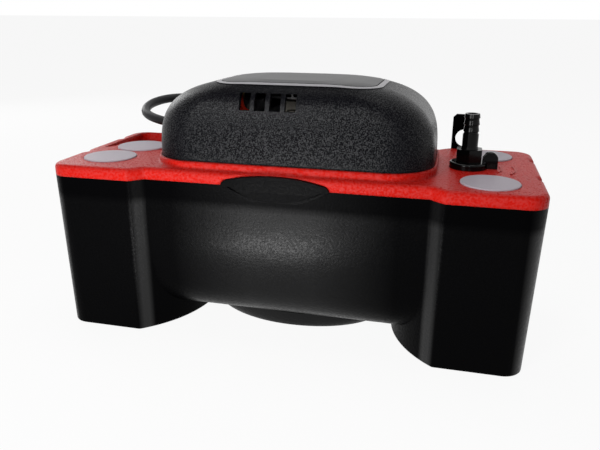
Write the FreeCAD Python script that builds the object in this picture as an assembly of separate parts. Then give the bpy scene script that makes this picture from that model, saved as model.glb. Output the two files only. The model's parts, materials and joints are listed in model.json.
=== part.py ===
import FreeCAD, Part
import math
import os

V = FreeCAD.Vector
os.makedirs("parts", exist_ok=True)

# All sizes are in millimetres. +Z is up, +X runs along the pump towards its outlet,
# and -Y is the front. The origin is on the floor, under the middle of the tank.

# Tank
LENGTH = 299.2             # overall, at the parting line
WIDTH = 120.6              # over the two end legs
TANK_HEIGHT = 101.5        # floor to the parting line
WALL = 2.5                 # tank and lid wall
END_TAPER = 3.0            # draft of each short end over the height
SIDE_TAPER = 0.1           # draft of each long side over the height
CORNER_R = 12.0            # outer vertical corners
LEG_NOSE_R = 75.5          # the legs' inner walls are upright cylinders of this radius
LEG_DEPTH = 84.6           # from each short end to the nearest point of those cylinders
LEG_EDGE_R = 3.5           # rounding of the legs' upright edges beside the barrel
BARREL_SETBACK = 7.8       # how far the barrel's rim lies behind the legs' faces
BARREL_BULGE = 3.5         # how much the barrel's middle stands out
BARREL_BASE_Z = 9.5        # underside of the barrel over the floor
FOOT_ROUND = 1.2           # rounding along the foot of each leg
SUMP_BASE = (48.0, 28.0)   # half axes of the sump's flat foot
SUMP_MOUTH = (66.0, 32.0)  # half axes of the sump where it joins the barrel

# Lid
RIM_HEIGHT = 7.4           # parting line to the deck
RIM_ROUND = 3.0            # rolled upper edge
DECK_THICK = 2.6
LIP_DEPTH = 5.0            # the lid's lip plugs the tank by this much
LIP_GAP = 0.3
LIP_THICK = 1.8
PLATFORM_RISE = 4.7        # curb round the motor cover, over the deck
PLATFORM_STEP = 1.7        # how far the curb stands out from the cover
NOTCH_Y = (-17.0, 31.0)    # the two notches in each lobed end
NOTCH_DEPTH = 2.4
NOTCH_R = 5.0
TRAY_SLOPE = 5.8           # degrees, the left tray drains towards the back
TRAY_START_Y = -4.0

# Snap tongues on the long sides
EYE_X = -3.7               # middle of the front one; the rear one mirrors it
EYE_HALF = 33.2
EYE_RISE = 6.9
EYE_SHOULDER = (30.6, 3.0) # where the upper outline turns down to its tips
EYE_DROP = 10.4
EYE_PROUD = 1.6
EYE_GAP = 0.4

# Motor cover
COVER_SETBACK_X = 62.8     # from each short end of the pump
COVER_SETBACK_Y = 12.6     # from each long side
COVER_CORNER_R = 27.5
COVER_BASE_RISE = 1.5      # its lower edge over the deck
COVER_HEIGHT = 50.9
COVER_WALL = 2.5
COVER_POWER_X = 3.4        # squareness of the arch seen from the front
COVER_POWER_Y = 5.5        # squareness of the arch seen from the end
VENT_COUNT = 4
VENT_WIDTH = 6.6
VENT_PITCH = 9.2
VENT_FIRST_X = -23.2       # middle of the first front vent
VENT_RISE = 36.5           # lower edge of the vents over the deck
VENT_HEIGHT = 9.8

# Inlets and their caps
INLET_R = 15.0
CAP_FLANGE_R = 16.8
CAP_THICK = 1.4
CAP_PROUD = 0.8            # how much a cap stands out of the deck
CAP_SKIRT_DEPTH = 5.0
CAP_SKIRT_THICK = 1.3
CAP_GAP = 0.3
INLETS_IN_X = (27.3, 30.7, 31.6, 30.7)     # from the short end: front left, front right, rear left, right
INLETS_IN_Y = (30.0, 23.9, 66.1, 23.9)     # from the front side, and for the last from the rear side

# Motor
SHAFT_R = 2.5
SHAFT_LENGTH = 149.0
RUN_GAP = 0.05             # radial clearance of a running fit
AIR_GAP = 0.5
ROTOR_R = 12.5
STACK_RISE = 12.1          # underside of the laminations over the deck
STACK_HEIGHT = 18.0
STATOR_HALF_Y = 26.0
STATOR_NEAR_X = -23.0
STATOR_FAR_X = 58.0
STATOR_ARM = 12.0
BRIDGE_X = (45.0, 57.0)
WINDING_THICK = 8.0
BOLT_Y = 22.0
BOLT_R = 2.0
SCREW_R = 1.25             # small screws of the pump and the switch
SCREW_HEAD_R = 2.4
BRACKET_THICK = 1.6
BRACKET_WIDTH = 17.0
BRACKET_DEPTH = 6.5        # depth of each bracket's pan
PAN_HALF = 12.6            # half length of the pan's floor
PAN_RAMP = 3.6             # how far each ramp of the pan runs
POST_R = 4.5               # the lid's posts under the motor
BEARING_R = 5.5
BEARING_LENGTH = 6.0
FAN_R = 24.0
FAN_HEIGHT = 6.0
SLINGER_R = 8.0

# Pump
IMPELLER_R = 14.0
IMPELLER_BASE_Z = 9.0
BLADE_HEIGHT = 6.0
BLADE_COUNT = 6
VOLUTE_WALL = 2.0
VOLUTE_INNER_R = 16.5
VOLUTE_SPREAD = 5.0        # how much the scroll opens over one turn
VOLUTE_COVER_Z = 5.2
VOLUTE_ROOF_Z = 17.0
COLUMN_R = 9.0
COLUMN_BORE_R = 6.8
COLUMN_FLANGE_R = 17.0
COLUMN_FLANGE_THICK = 3.0
VOLUTE_SCREW_LENGTH = 7.0
NOZZLE_LENGTH = 29.0
HOSE_START_X = 21.5
CLAMP_WIDTH = 4.0
INTAKE_R = 6.0

# Outlet valve
VALVE_IN = 42.8            # from the right end
VALVE_BORE_R = 3.0
BARB_TOP_R = 4.3
BARB_LAND_R = 4.8          # plain length below the rings, on which the hose seals
BARB_LAND = 9.2
BARB_ROOT_R = 5.4
BARB_ROOT = 1.6            # height of the flare at the foot of the barb
BARB_HEIGHT = 21.5
BARB_RINGS = 3
TAB_WIDTH = 9.4
TAB_HEIGHT = 10.4
TAB_THICK = 3.4
ARC_RADII = (20.0, 28.0)   # raised arcs on the deck beside the valve
ARC_WIDTH = 1.0
ARC_PROUD = 0.5
HEX_ACROSS = 15.0
HEX_HEIGHT = 8.0
VALVE_FLANGE_R = 11.4
VALVE_FLANGE_THICK = 3.8
SPIGOT_R = 7.6
SPIGOT_DEPTH = 12.0
CHAMBER_R = 4.4
SEAT_R = 2.4
SEAT_THICK = 2.0
RING_WIRE_R = 0.66         # O-ring section
LUG_REACH = 1.6
SOCKET_WALL = 4.0
SOCKET_GAP = 0.08
NIPPLE_R = 3.4
NIPPLE_BORE_R = 2.2
NIPPLE_LENGTH = 11.0
POPPET_R = 3.7
POPPET_THICK = 1.6
SPRING_MEAN_R = 2.7
SPRING_WIRE_R = 0.3
SPRING_TURNS = 6
HOSE_R = 4.6

# Level control
STEM_X = -62.0
STEM_R = 2.4
CLIP_R = 4.4
CLIP_THICK = 1.0
FLOAT_SIZE = (46.0, 62.0, 22.0)
FLOAT_CENTRE_X = -52.0
FLOAT_LOW_Z = 30.0
LEVER_REACH = 34.0
LEVER_THICK = 0.5
LEVER_RISE = 18.1          # underside of the lever over the deck when it lies level
LEVER_DROOP = 12.0         # degrees, how far it hangs down with the float low
SWITCH_SIZE = (28.0, 10.3, 16.0)
SWITCH_RISE = 21.5
BUTTON_R = 1.5
BUTTON_REACH = 7.2
TOUCH_GAP = 0.3            # between the stem, the lever and the button
PIN_R = 0.8
WIRE_R = 1.2
TERMINAL_HEIGHT = 5.0

# Rear hanging ears
EAR_IN = 45.5              # from each short end
EAR_HALF = 8.6
EAR_RISE = 24.1            # over the deck
EAR_HOLE_RISE = 7.6
EAR_HOLE_R = 6.2
EAR_THICK = 3.0
EAR_CHAMFER = 2.2

# Power cord
CORD_R = 3.4
RELIEF_ROOT = (-84.85, 31.33, 118.16)  # where the relief leaves the cover
RELIEF_WAY = (-0.949, 0.302, 0.09)
RELIEF_LENGTH = 32.0
RELIEF_ROOT_R = 4.5
COIL_MID_R = 37.0
COIL_CENTRE = (22.0, 111.0)
COIL_PITCH = 6.9
COIL_LEAD = 27.0           # straight lead of the coil's first and last turn
COIL_ROWS = 3
COIL_LAYERS = 2
PLUG_LENGTH = 38.0
PLUG_NECK = 22.0
PLUG_HALF_W = 12.0
BLADE_LENGTH = 16.0

# Values that follow from those above
HALF_L = LENGTH / 2
HALF_W = WIDTH / 2
NOSE_CENTRE_X = HALF_L - LEG_DEPTH + LEG_NOSE_R
BARREL_RIM_Y = HALF_W - BARREL_SETBACK
DECK_Z = TANK_HEIGHT + RIM_HEIGHT
DECK_UNDER_Z = DECK_Z - DECK_THICK
PLATFORM_Z = DECK_Z + PLATFORM_RISE
COVER_HALF_X = HALF_L - COVER_SETBACK_X
COVER_HALF_Y = HALF_W - COVER_SETBACK_Y
COVER_BASE_Z = DECK_Z + COVER_BASE_RISE
COVER_TOP_Z = COVER_BASE_Z + COVER_HEIGHT
INLETS = (
    ("front_left", -HALF_L + INLETS_IN_X[0], -HALF_W + INLETS_IN_Y[0]),
    ("front_right", HALF_L - INLETS_IN_X[1], -HALF_W + INLETS_IN_Y[1]),
    ("rear_left", -HALF_L + INLETS_IN_X[2], -HALF_W + INLETS_IN_Y[2]),
    ("rear_right", HALF_L - INLETS_IN_X[3], HALF_W - INLETS_IN_Y[3]),
)
SHAFT_TOP_Z = IMPELLER_BASE_Z - 0.4 + SHAFT_LENGTH
STACK_LOW_Z = DECK_Z + STACK_RISE
STACK_HIGH_Z = STACK_LOW_Z + STACK_HEIGHT
VALVE_X = HALF_L - VALVE_IN
EAR_X = HALF_L - EAR_IN
EAR_TOP_Z = DECK_Z + EAR_RISE
LEVER_LOW_Z = DECK_Z + LEVER_RISE
SWITCH_LOW_Z = DECK_Z + SWITCH_RISE
HEX_BASE_Z = DECK_Z + 0.2 + VALVE_FLANGE_THICK
BARB_BASE_Z = HEX_BASE_Z + HEX_HEIGHT
BARB_TOP_Z = BARB_BASE_Z + BARB_HEIGHT
SPIGOT_LOW_Z = DECK_Z - SPIGOT_DEPTH
NIPPLE_LOW_Z = SPIGOT_LOW_Z - 2.0 - NIPPLE_LENGTH
RING_Z = DECK_Z - 8.0
SWITCH_PIN_X = STEM_X + LEVER_REACH
GUIDE_TOP_Z = DECK_Z + 3.0


def save(name, shape):
    shape.exportStep("parts/" + name + ".step")
    print(name, "solids", len(shape.Solids), "valid", shape.isValid(), "volume", round(shape.Volume, 1))


def box(x0, x1, y0, y1, z0, z1):
    return Part.makeBox(x1 - x0, y1 - y0, z1 - z0, V(x0, y0, z0))


def rod(r, z0, z1, x=0.0, y=0.0):
    return Part.makeCylinder(r, z1 - z0, V(x, y, z0))


def tube(r_out, r_in, z0, z1, x=0.0, y=0.0):
    return rod(r_out, z0, z1, x, y).cut(rod(r_in, z0 - 1, z1 + 1, x, y))


def turned(profile, x=0.0, y=0.0):
    """Solid of revolution about the upright line at x, y, from (r, z) points."""
    points = [V(x + r, y, z) for r, z in profile]
    face = Part.Face(Part.makePolygon(points + [points[0]]))
    return face.revolve(V(x, y, 0), V(0, 0, 1), 360)


def join(shapes):
    first = shapes[0]
    if len(shapes) == 1:
        return first
    return first.fuse(shapes[1:]).removeSplitter()


def rounded_rectangle(half_x, half_y, r, z, centre=(0.0, 0.0)):
    cx, cy = centre
    straight = []
    corners = []
    k = r * (1 - math.sqrt(0.5))
    for sx, sy in ((1, -1), (1, 1), (-1, 1), (-1, -1)):
        x = cx + sx * half_x
        y = cy + sy * half_y
        on_y = V(x - sx * r, y, z)
        on_x = V(x, y - sy * r, z)
        start, end = (on_y, on_x) if sx * sy < 0 else (on_x, on_y)
        corners.append(Part.Arc(start, V(x - sx * k, y - sy * k, z), end).toShape())
        straight.append((start, end))
    edges = []
    for i in range(4):
        edges.append(corners[i])
        edges.append(Part.LineSegment(straight[i][1], straight[(i + 1) % 4][0]).toShape())
    return Part.Wire(edges)


def prism(wire, height):
    return Part.Face(wire).extrude(V(0, 0, height))


# Tank

def leg_wire(z, inset, side):
    """Plan of one end leg at height z: three straight sides and the round inner wall."""
    rise = z / TANK_HEIGHT
    x_end = HALF_L - END_TAPER * (1 - rise) - inset
    y_side = HALF_W - SIDE_TAPER * (1 - rise) - inset
    nose_r = LEG_NOSE_R - inset
    x_in = NOSE_CENTRE_X - math.sqrt(nose_r ** 2 - y_side ** 2)
    r = CORNER_R - inset
    k = r * (1 - math.sqrt(0.5))

    def at(x, y):
        return V(side * x, side * y, z)

    return Part.Wire([
        Part.LineSegment(at(x_in, -y_side), at(x_end - r, -y_side)).toShape(),
        Part.Arc(at(x_end - r, -y_side), at(x_end - k, -y_side + k), at(x_end, -y_side + r)).toShape(),
        Part.LineSegment(at(x_end, -y_side + r), at(x_end, y_side - r)).toShape(),
        Part.Arc(at(x_end, y_side - r), at(x_end - k, y_side - k), at(x_end - r, y_side)).toShape(),
        Part.LineSegment(at(x_end - r, y_side), at(x_in, y_side)).toShape(),
        Part.Arc(at(x_in, y_side), at(NOSE_CENTRE_X - nose_r, 0), at(x_in, -y_side)).toShape(),
    ])


def leg(side, inset, top):
    solid = Part.makeLoft([leg_wire(inset, inset, side), leg_wire(top, inset, side)], True, True)
    if inset:
        return solid
    upright = [e for e in solid.Edges if e.BoundBox.ZLength > top - 0.1
               and abs(e.CenterOfMass.x) < NOSE_CENTRE_X and abs(e.CenterOfMass.y) > HALF_W - 1.0]
    solid = solid.makeFillet(LEG_EDGE_R, upright)
    foot = [e for e in solid.Edges if e.BoundBox.ZMax < 0.01]
    return solid.makeFillet(FOOT_ROUND, foot)


def barrel_section(x, bulge, inset, top):
    """Half-round underside and upright walls of the barrel, as one closed wire across X."""
    rim = BARREL_RIM_Y
    base = BARREL_BASE_Z
    half = [
        (rim, TANK_HEIGHT),
        (rim + 1.4 + 0.6 * bulge, 80.0),
        (rim + 0.8 + bulge, 58.0),
        (rim - 1.2 + 0.8 * bulge, 41.0),
        (rim - 4.0 + 0.5 * bulge, 28.0),
        (rim - 9.0 + 0.3 * bulge, 19.5),
        (rim - 15.5, 14.0),
        (rim - 25.0, base + 0.6),
        (0.0, base),
    ]
    path = [(-y, z) for y, z in half] + [(y, z) for y, z in reversed(half[:-1])]
    if inset:
        moved = []
        for i, (y, z) in enumerate(path):
            y0, z0 = path[max(i - 1, 0)]
            y1, z1 = path[min(i + 1, len(path) - 1)]
            length = math.hypot(y1 - y0, z1 - z0)
            moved.append((y - (z1 - z0) / length * inset, z + (y1 - y0) / length * inset))
        moved[0] = (-rim + inset, TANK_HEIGHT)
        moved[-1] = (rim - inset, TANK_HEIGHT)
        path = moved
    curve = Part.BSplineCurve()
    curve.interpolate([V(x, y, z) for y, z in path])
    left = V(x, path[0][0], path[0][1])
    right = V(x, path[-1][0], path[-1][1])
    edges = [curve.toShape()]
    if top > TANK_HEIGHT:
        edges.append(Part.LineSegment(right, V(x, right.y, top)).toShape())
        edges.append(Part.LineSegment(V(x, right.y, top), V(x, left.y, top)).toShape())
        edges.append(Part.LineSegment(V(x, left.y, top), left).toShape())
    else:
        edges.append(Part.LineSegment(right, left).toShape())
    return Part.Wire(edges)


def barrel(inset, top):
    reach = NOSE_CENTRE_X - math.sqrt(LEG_NOSE_R ** 2 - BARREL_RIM_Y ** 2) + 3.0
    stations = ((-reach, 0.0), (0.0, BARREL_BULGE), (reach, 0.0))
    wires = [barrel_section(x, bulge, inset, top) for x, bulge in stations]
    return Part.makeLoft(wires, True, False)


def sump(inset):
    """Oval bowl under the barrel, flat where it stands on the floor."""
    wires = []
    depth = BARREL_BASE_Z + 1.5
    for share in (0.0, 0.15, 0.45, 1.0):
        spread = math.sqrt(share)
        half_x = SUMP_BASE[0] + (SUMP_MOUTH[0] - SUMP_BASE[0]) * spread - inset
        half_y = SUMP_BASE[1] + (SUMP_MOUTH[1] - SUMP_BASE[1]) * spread - inset
        ellipse = Part.Ellipse(V(0, 0, inset + depth * share), half_x, half_y)
        wires.append(Part.Wire([ellipse.toShape()]))
    return Part.makeLoft(wires, True, False)


def tank_form(inset, top):
    return join([barrel(inset, top), leg(1, inset, top), leg(-1, inset, top), sump(inset)])


def eye_upper(y, grow):
    """Upper outline of the eye: a flat arc that turns down at both ends, closed by the chord."""
    half = EYE_HALF + grow
    shoulder_x, shoulder_z = EYE_SHOULDER
    places = (
        (-half, -grow), (-half + 0.9, 0.55 * shoulder_z), (-shoulder_x, shoulder_z + grow),
        (0.0, EYE_RISE + grow), (shoulder_x, shoulder_z + grow), (half - 0.9, 0.55 * shoulder_z),
        (half, -grow),
    )
    tip, left, start, crown, stop, right, last = [V(x, y, TANK_HEIGHT + z) for x, z in places]
    return Part.Wire([
        Part.Arc(tip, left, start).toShape(),
        Part.Arc(start, crown, stop).toShape(),
        Part.Arc(stop, right, last).toShape(),
        Part.LineSegment(last, tip).toShape(),
    ])


def eye_lower(y, half, drop, top):
    tip = V(-half, y, top)
    last = V(half, y, top)
    arc = Part.Arc(tip, V(0, y, TANK_HEIGHT - drop), last)
    return Part.Wire([arc.toShape(), Part.LineSegment(last, tip).toShape()])


def on_long_side(wire, side, depth):
    """Solid raised from an outline of the front eye; side 1 mirrors it to the rear."""
    solid = Part.Face(wire).extrude(V(0, -depth, 0))
    solid.translate(V(EYE_X, 0, 0))
    if side > 0:
        solid.rotate(V(0, 0, 0), V(0, 0, 1), 180)
    return solid


def snap_tongue(side):
    """Eye-shaped tongue that clips over the lid's rim, with a finger recess below it."""
    y_in = -BARREL_RIM_Y + 1.0
    depth = 1.0 + EYE_PROUD
    upper = on_long_side(eye_upper(y_in, 0.0), side, depth)
    lower = on_long_side(eye_lower(y_in, EYE_HALF, EYE_DROP, TANK_HEIGHT), side, depth)
    scoop_y = -BARREL_RIM_Y - 0.6
    scoop = on_long_side(eye_lower(scoop_y, EYE_HALF - 4.0, EYE_DROP - 1.8, TANK_HEIGHT - 0.8), side, 4.0)
    return upper, lower.cut(scoop)


def ear(side):
    """Hanging ear that stands up behind the lid, with its round hole."""
    x0 = side * EAR_X - EAR_HALF
    x1 = side * EAR_X + EAR_HALF
    y_out = HALF_W
    y_in = y_out - EAR_THICK
    points = [
        V(x0, y_in, TANK_HEIGHT - 6.0), V(x0, y_in, EAR_TOP_Z - EAR_CHAMFER),
        V(x0 + EAR_CHAMFER, y_in, EAR_TOP_Z), V(x1 - EAR_CHAMFER, y_in, EAR_TOP_Z),
        V(x1, y_in, EAR_TOP_Z - EAR_CHAMFER), V(x1, y_in, TANK_HEIGHT - 6.0),
    ]
    plate = Part.Face(Part.makePolygon(points + [points[0]])).extrude(V(0, EAR_THICK, 0))
    middle = V(side * EAR_X, y_in - 1, DECK_Z + EAR_HOLE_RISE)
    hole = Part.makeCylinder(EAR_HOLE_R, EAR_THICK + 2, middle, V(0, 1, 0))
    return plate.cut(hole)


def make_tank():
    shell = tank_form(0.0, TANK_HEIGHT).cut(tank_form(WALL, TANK_HEIGHT + 2.0))
    parts = [shell]
    for side in (-1, 1):
        parts.extend(snap_tongue(side))
        parts.append(ear(side))
    return join(parts)


# Lid

def lid_wire(z, inset):
    """Plan of the lid: it follows the tank, with a step at each leg and two notches per end."""
    x_end = HALF_L - inset
    y_leg = HALF_W - inset
    y_mid = BARREL_RIM_Y + 0.6 - inset
    nose_r = LEG_NOSE_R - inset
    x_leg = NOSE_CENTRE_X - math.sqrt(nose_r ** 2 - y_leg ** 2)
    x_mid = NOSE_CENTRE_X - math.sqrt(nose_r ** 2 - y_mid ** 2)
    x_between = 0.5 * (x_leg + x_mid) - 0.4
    y_between = 0.5 * (y_leg + y_mid)
    r = CORNER_R - inset
    k = r * (1 - math.sqrt(0.5))
    edges = []

    def line(a, b):
        edges.append(Part.LineSegment(V(a[0], a[1], z), V(b[0], b[1], z)).toShape())

    def arc(a, m, b):
        edges.append(Part.Arc(V(a[0], a[1], z), V(m[0], m[1], z), V(b[0], b[1], z)).toShape())

    def end(sx):
        at = (sx * x_end, -sx * (y_leg - r))
        notches = NOTCH_Y if sx > 0 else tuple(reversed(NOTCH_Y))
        for y in notches:
            start = (sx * x_end, y - sx * NOTCH_R)
            stop = (sx * x_end, y + sx * NOTCH_R)
            line(at, start)
            arc(start, (sx * (x_end - NOTCH_DEPTH), y), stop)
            at = stop
        line(at, (sx * x_end, sx * (y_leg - r)))

    for sx in (1, -1):
        line((-sx * x_mid, -sx * y_mid), (sx * x_mid, -sx * y_mid))
        arc((sx * x_mid, -sx * y_mid), (sx * x_between, -sx * y_between), (sx * x_leg, -sx * y_leg))
        line((sx * x_leg, -sx * y_leg), (sx * (x_end - r), -sx * y_leg))
        arc((sx * (x_end - r), -sx * y_leg), (sx * (x_end - k), -sx * (y_leg - k)),
            (sx * x_end, -sx * (y_leg - r)))
        end(sx)
        arc((sx * x_end, sx * (y_leg - r)), (sx * (x_end - k), sx * (y_leg - k)),
            (sx * (x_end - r), sx * y_leg))
        line((sx * (x_end - r), sx * y_leg), (sx * x_leg, sx * y_leg))
        arc((sx * x_leg, sx * y_leg), (sx * x_between, sx * y_between), (sx * x_mid, sx * y_mid))
    return Part.Wire(edges)


def cover_section(z, inset):
    """Plan of the motor cover at height z. It closes in towards the top along two power curves."""
    rise = (z - COVER_BASE_Z) / (COVER_TOP_Z - inset - COVER_BASE_Z)
    share_x = (1 - rise ** COVER_POWER_X) ** (1 / COVER_POWER_X)
    share_y = (1 - rise ** COVER_POWER_Y) ** (1 / COVER_POWER_Y)
    half_x = (COVER_HALF_X - inset) * share_x
    half_y = (COVER_HALF_Y - inset) * share_y
    r = min((COVER_CORNER_R - inset) * share_y, 0.8 * half_x)
    return rounded_rectangle(half_x, half_y, r, z)


def cover_form(inset):
    top = COVER_TOP_Z - inset
    height = top - COVER_BASE_Z
    shares = (0.0, 0.2, 0.4, 0.57, 0.71, 0.82, 0.9, 0.95, 0.98, 0.995)
    wires = [cover_section(COVER_BASE_Z + height * s, inset) for s in shares]
    return Part.makeLoft(wires, True, False)


def tray():
    """Wedge cut out of the left end of the deck, deeper towards the back."""
    x0 = -HALF_L + 7.5
    x1 = -COVER_HALF_X - PLATFORM_STEP - 2.0
    y1 = HALF_W - 4.5
    low = tray_height(y1)
    points = [
        V(x0, TRAY_START_Y, DECK_Z), V(x0, y1, low), V(x0, y1, DECK_Z + 5), V(x0, TRAY_START_Y, DECK_Z + 5),
    ]
    wedge = Part.Face(Part.makePolygon(points + [points[0]])).extrude(V(x1 - x0, 0, 0))
    corner = rounded_rectangle(0.5 * (x1 - x0), y1, 8.0, DECK_Z - 20, (0.5 * (x0 + x1), 0.0))
    return wedge.common(prism(corner, 40))


def tray_height(y):
    return DECK_Z - (y - TRAY_START_Y) * math.tan(math.radians(TRAY_SLOPE))


def on_deck(shape, x, y):
    moved = shape.copy()
    moved.translate(V(x, y, DECK_Z))
    return moved


def inlet_cut():
    """Counterbore and through hole of one inlet, about the deck's surface at z 0."""
    seat = CAP_THICK - CAP_PROUD
    counterbore = rod(CAP_FLANGE_R + CAP_GAP, -seat, 6.0)
    return counterbore.fuse(rod(INLET_R, -20.0, 1.0))


def make_inlet_cap():
    """Disc with a short skirt that plugs the inlet, about the deck's surface at z 0."""
    top = CAP_PROUD
    low = CAP_PROUD - CAP_THICK
    skirt_r = INLET_R - CAP_GAP
    inner_r = skirt_r - CAP_SKIRT_THICK
    foot = low - CAP_SKIRT_DEPTH
    return turned([
        (0.0, low), (inner_r, low), (inner_r, foot), (skirt_r, foot), (skirt_r, low),
        (CAP_FLANGE_R, low), (CAP_FLANGE_R, top - 0.4), (CAP_FLANGE_R - 0.4, top), (0.0, top),
    ])


def make_lid():
    rim = prism(lid_wire(TANK_HEIGHT, 0.0), RIM_HEIGHT)
    upper = [e for e in rim.Edges if e.BoundBox.ZMin > DECK_Z - 0.01]
    rim = rim.makeFillet(RIM_ROUND, upper)
    lip_inset = WALL + LIP_GAP
    hollow_low = TANK_HEIGHT - LIP_DEPTH - 1
    hollow = prism(lid_wire(hollow_low, lip_inset + LIP_THICK), DECK_UNDER_Z - hollow_low)
    lip = tank_form(lip_inset, TANK_HEIGHT + 0.5)
    lip = lip.common(box(-HALF_L, HALF_L, -HALF_W, HALF_W, TANK_HEIGHT - LIP_DEPTH, TANK_HEIGHT + 0.5))
    curb_x = COVER_HALF_X + PLATFORM_STEP
    curb_y = COVER_HALF_Y + PLATFORM_STEP
    curb_r = COVER_CORNER_R + PLATFORM_STEP
    curb = prism(rounded_rectangle(curb_x, curb_y, curb_r, DECK_Z - 1.0), PLATFORM_RISE + 1.0)
    curb_top = [e for e in curb.Edges if e.BoundBox.ZMin > PLATFORM_Z - 0.01]
    curb = curb.makeFillet(0.9, curb_top)
    seat_gap = 0.3
    well = prism(rounded_rectangle(COVER_HALF_X + seat_gap, COVER_HALF_Y + seat_gap,
                                   COVER_CORNER_R + seat_gap, COVER_BASE_Z), 10.0)
    room = prism(rounded_rectangle(COVER_HALF_X - COVER_WALL - 1.5, COVER_HALF_Y - COVER_WALL - 1.5,
                                   COVER_CORNER_R - COVER_WALL - 1.5, DECK_Z), 10.0)
    lid = join([rim, lip, curb]).cut([well, room])
    lid = lid.cut(hollow.cut(under_tray()))
    lid = lid.cut(tray())
    collar_low = tray_height(HALF_W) - DECK_THICK
    collar_r = CAP_FLANGE_R + CAP_GAP + 1.2
    for name, x, y in INLETS:
        if name == "rear_left":
            lid = join([lid, rod(collar_r, collar_low, DECK_Z, x, y)])
    for _, x, y in INLETS:
        lid = lid.cut(on_deck(inlet_cut(), x, y))
    lid = join([lid] + lid_bosses())
    lid = lid.cut(lid_bores())
    for side in (-1, 1):
        lid = lid.cut(eye_room(side))
        x0 = side * EAR_X - EAR_HALF - 0.3
        x1 = side * EAR_X + EAR_HALF + 0.3
        lid = lid.cut(box(x0, x1, HALF_W - EAR_THICK - 0.3, HALF_W + 2, TANK_HEIGHT - 10, EAR_TOP_Z))
    return lid


def lid_bosses():
    """Valve socket with its nipple, stem guide, motor posts and switch wall."""
    socket_r = SPIGOT_R + SOCKET_GAP + SOCKET_WALL
    wall_y = SWITCH_SIZE[1] / 2 + 0.1
    switch_x = SWITCH_PIN_X + 1.5 - SWITCH_SIZE[0]
    bosses = [
        rod(socket_r, SPIGOT_LOW_Z - 2.0, DECK_Z - 0.5, VALVE_X),
        rod(NIPPLE_R, NIPPLE_LOW_Z, SPIGOT_LOW_Z - 1.0, VALVE_X),
        rod(5.0, DECK_Z - 17.0, GUIDE_TOP_Z, STEM_X),
        box(switch_x + 1, switch_x + SWITCH_SIZE[0] - 3, wall_y, wall_y + 2.4, DECK_Z - 1,
            SWITCH_LOW_Z + SWITCH_SIZE[2] - 2),
    ]
    for side in (-1, 1):
        bosses.append(rod(POST_R, DECK_UNDER_Z + 0.5, STACK_LOW_Z - BRACKET_THICK, 0.0, side * BOLT_Y))
    for r in ARC_RADII:
        ring = tube(r + ARC_WIDTH / 2, r - ARC_WIDTH / 2, DECK_Z - 0.5, DECK_Z + ARC_PROUD, VALVE_X)
        bosses.append(ring.common(wedge_of(r + ARC_WIDTH, DECK_Z - 1, DECK_Z + 1, -6.0, 44.0, VALVE_X)))
    return bosses


def lid_bores():
    """Bores and bayonet groove that the bosses need."""
    bore_r = SPIGOT_R + SOCKET_GAP
    groove_r = SPIGOT_R + LUG_REACH + 0.3
    groove_high = DECK_Z - 2.9
    groove = tube(groove_r, bore_r - 0.5, groove_high - 2.4, groove_high, VALVE_X)
    bores = [
        rod(bore_r, SPIGOT_LOW_Z, DECK_Z + 1, VALVE_X),
        groove,
        rod(NIPPLE_BORE_R, NIPPLE_LOW_Z - 1, SPIGOT_LOW_Z + 1, VALVE_X),
        rod(STEM_R + RUN_GAP, DECK_Z - 18, GUIDE_TOP_Z + 1, STEM_X),
        rod(SHAFT_R + 3.0, DECK_UNDER_Z - 1, DECK_Z + 1),
    ]
    for angle in (90, 270):
        slot = wedge_of(groove_r, groove_high - 1.0, DECK_Z + 1, angle, 56.0, VALVE_X)
        bores.append(slot)
    for side in (-1, 1):
        bores.append(rod(BOLT_R, DECK_UNDER_Z + 2, STACK_LOW_Z, 0.0, side * BOLT_Y))
    for x, y in column_screw_places():
        bores.append(rod(SCREW_R, DECK_UNDER_Z - 1, DECK_Z + 1, x, y))
    for x in switch_screw_x():
        bores.append(Part.makeCylinder(SCREW_R, 4.0, V(x, SWITCH_SIZE[1] / 2, switch_screw_z()), V(0, 1, 0)))
    return bores


def wedge_of(r, z0, z1, angle, spread, x=0.0):
    """Sector of a disc about the upright line at x, centred on one angle."""
    sector = Part.makeCylinder(r, z1 - z0, V(0, 0, 0), V(0, 0, 1), spread)
    sector.rotate(V(0, 0, 0), V(0, 0, 1), angle - spread / 2)
    sector.translate(V(x, 0, z0))
    return sector


def under_tray():
    """Material left under the sloped tray, so that the tray keeps a full floor."""
    x0 = -HALF_L + 4.5
    x1 = -COVER_HALF_X - PLATFORM_STEP + 1.0
    y1 = HALF_W - 4.5
    z1 = tray_height(y1)
    points = [
        V(x0, TRAY_START_Y, DECK_UNDER_Z), V(x0, TRAY_START_Y, DECK_Z),
        V(x0, y1 + 3, DECK_Z), V(x0, y1 + 3, z1 - DECK_THICK), V(x0, y1, z1 - DECK_THICK),
    ]
    return Part.Face(Part.makePolygon(points + [points[0]])).extrude(V(x1 - x0, 0, 0))


def eye_room(side):
    """Room in the rim for the tank's snap tongue."""
    return on_long_side(eye_upper(-BARREL_RIM_Y + 1.0 + EYE_GAP, EYE_GAP), side, 8.0)


def make_cover():
    shell = cover_form(0.0).cut(cover_form(COVER_WALL))
    for i in range(VENT_COUNT):
        x = VENT_FIRST_X + i * VENT_PITCH
        for side in (1, -1):
            cx = side * x
            y0, y1 = (-60.0, -37.0) if side > 0 else (37.0, 60.0)
            low = DECK_Z + VENT_RISE
            shell = shell.cut(box(cx - VENT_WIDTH / 2, cx + VENT_WIDTH / 2, y0, y1, low, low + VENT_HEIGHT))
    return shell


# Motor

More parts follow.
